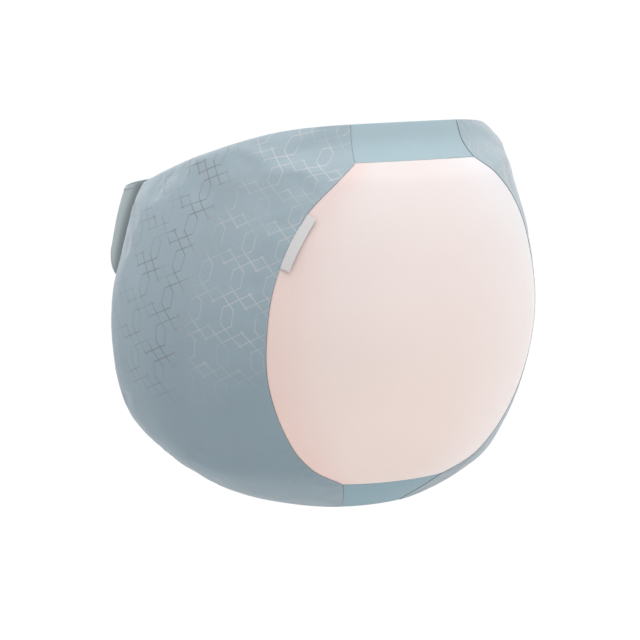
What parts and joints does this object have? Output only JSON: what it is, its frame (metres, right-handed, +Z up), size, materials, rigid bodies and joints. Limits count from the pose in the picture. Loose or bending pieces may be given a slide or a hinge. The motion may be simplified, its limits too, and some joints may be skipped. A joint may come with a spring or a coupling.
{
  "type": "maternity support belt",
  "caption": "Maternity support belt in its worn form: an oval jersey belly panel, padded printed side wings, elastic back straps and a plain hook closure.",
  "frame": {"origin": "On the body's axis, at half the height of the belt at centre front. The body passes up through it.", "axes": "+X towards the wearer's left, +Y towards the wearer's back, +Z up along the body"},
  "size_m": [0.3424, 0.3521, 0.302],
  "materials": {
    "panel_jersey": "smooth fine jersey, matt, pale pink",
    "tab_elastic": "plain fine-ribbed elastic cloth, matt, pale cyan blue",
    "wing_print": "smooth padded cloth, blue grey, with thin metallic line print",
    "strap_elastic": "woven elastic, matt, grey green",
    "hook_tape": "hook tape, matt, dark grey",
    "label_tape": "woven satin tape, bare, off white"
  },
  "bodies": {
    "root": {"front_panel": "panel_jersey", "top_tab": "tab_elastic", "bottom_tab": "tab_elastic", "right_wing": "wing_print", "left_wing": "wing_print", "right_strap": "strap_elastic", "left_strap": "strap_elastic", "hook_patch": "hook_tape", "side_label": "label_tape"}
  },
  "joints": []
}
